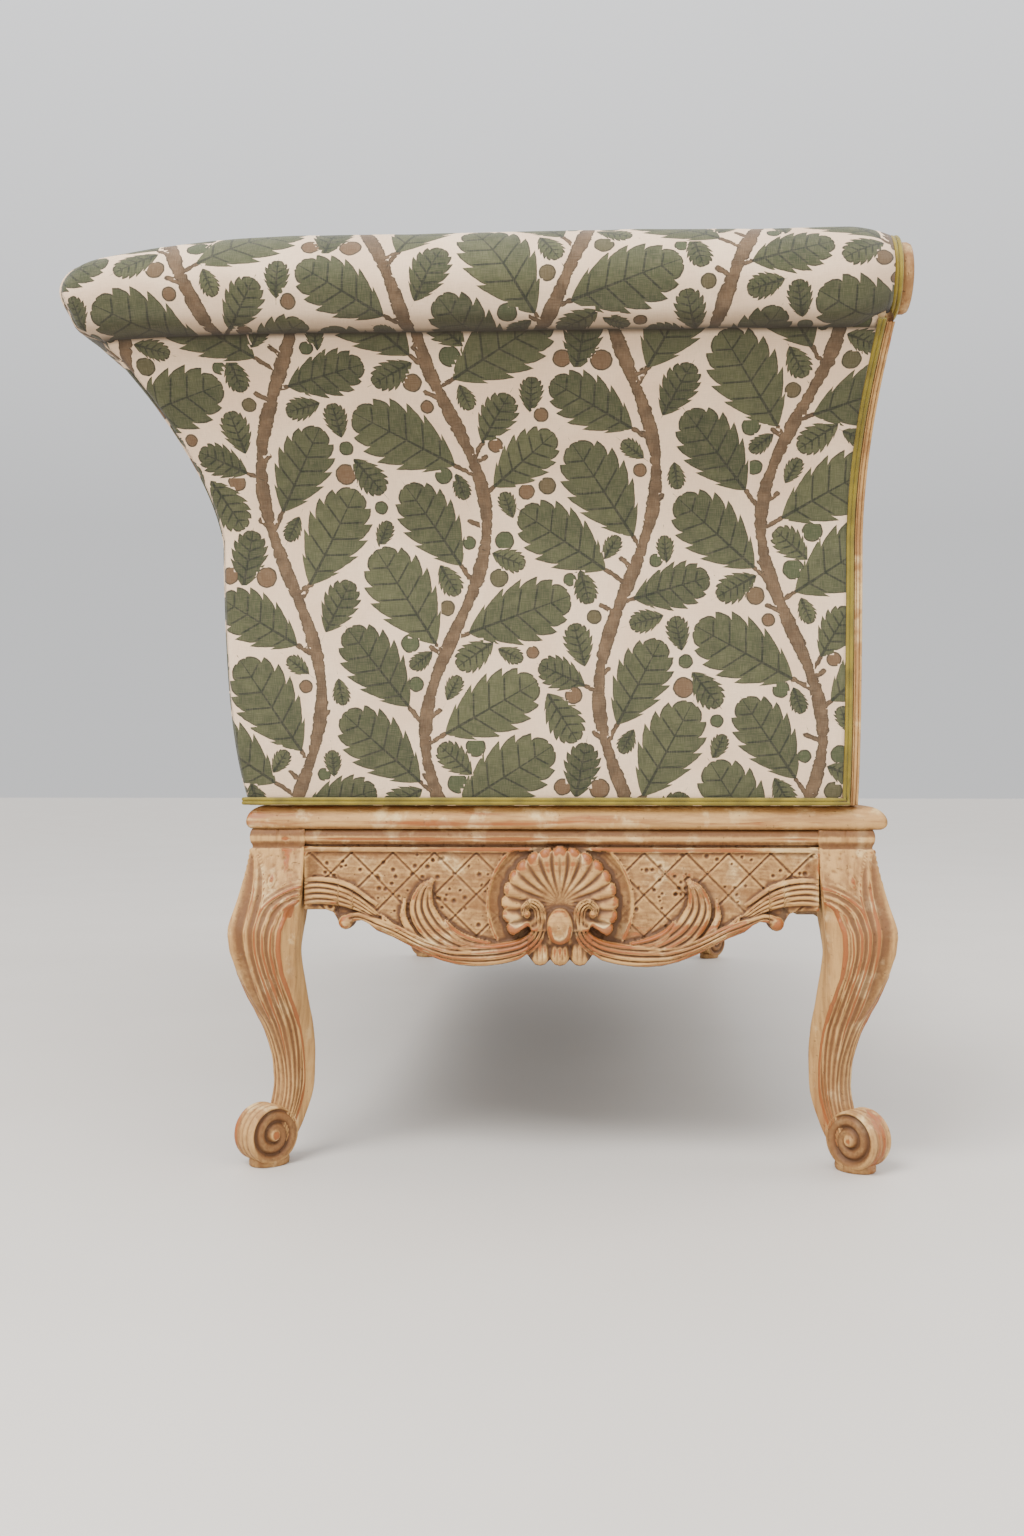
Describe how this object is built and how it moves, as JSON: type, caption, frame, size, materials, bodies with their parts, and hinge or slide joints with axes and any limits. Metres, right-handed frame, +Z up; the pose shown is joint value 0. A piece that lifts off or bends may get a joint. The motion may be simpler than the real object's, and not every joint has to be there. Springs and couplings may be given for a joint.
{
  "type": "sofa",
  "caption": "Long settee with outscrolled padded arms and back, a loose seat cushion and a carved, painted wooden base on cabriole legs with scroll feet.",
  "frame": {"origin": "on the floor under the middle of the sofa's overall box", "axes": "+X along the length, to the right of someone who looks at the sofa's front; -Y is the front; +Z is up"},
  "size_m": [2.106, 0.8633, 0.986],
  "materials": {
    "painted_wood": "worn cream and bone paint over carved wood, with orange-brown wood showing along the edges",
    "frame_wood": "plain sawn wood, unfinished",
    "screw_steel": "plain steel",
    "webbing": "woven jute strap",
    "hessian": "open jute cloth",
    "deck_cloth": "plain cotton",
    "dust_cloth": "thin black cloth",
    "printed_linen": "matt linen printed with grey-green leaves and brown twigs on a pale ground",
    "welt": "olive-yellow covered cord"
  },
  "bodies": {
    "root": {"leg_front_left": "painted_wood", "leg_front_right": "painted_wood", "leg_rear_left": "painted_wood", "leg_rear_right": "painted_wood", "rail_front": "painted_wood", "rail_rear": "painted_wood", "rail_left": "painted_wood", "rail_right": "painted_wood", "moulding_front": "painted_wood", "moulding_rear": "painted_wood", "moulding_left": "painted_wood", "moulding_right": "painted_wood", "corner_blocks": "frame_wood", "corner_screws": "screw_steel", "board_screws": "screw_steel", "cross_rails": "frame_wood", "dust_cover": "dust_cloth", "webbing_long": "webbing", "webbing_across": "webbing", "seat_hessian": "hessian", "seat_deck": "deck_cloth", "seat_cushion": "printed_linen", "arm_sills": "frame_wood", "arm_posts": "frame_wood", "back_sill": "frame_wood", "back_posts": "frame_wood", "roll_rail_left": "frame_wood", "roll_rail_right": "frame_wood", "roll_rail_back": "frame_wood", "arm_panel_left": "printed_linen", "arm_panel_right": "printed_linen", "back_panel": "printed_linen", "arm_roll_left": "printed_linen", "arm_roll_right": "printed_linen", "back_roll": "printed_linen", "arm_pad_left": "printed_linen", "arm_pad_right": "printed_linen", "back_pad": "printed_linen", "facing_left": "painted_wood", "facing_right": "painted_wood", "boss_left": "painted_wood", "boss_right": "painted_wood", "welt_left": "welt", "welt_right": "welt", "welt_rear": "welt", "welt_front": "welt"}
  },
  "joints": []
}
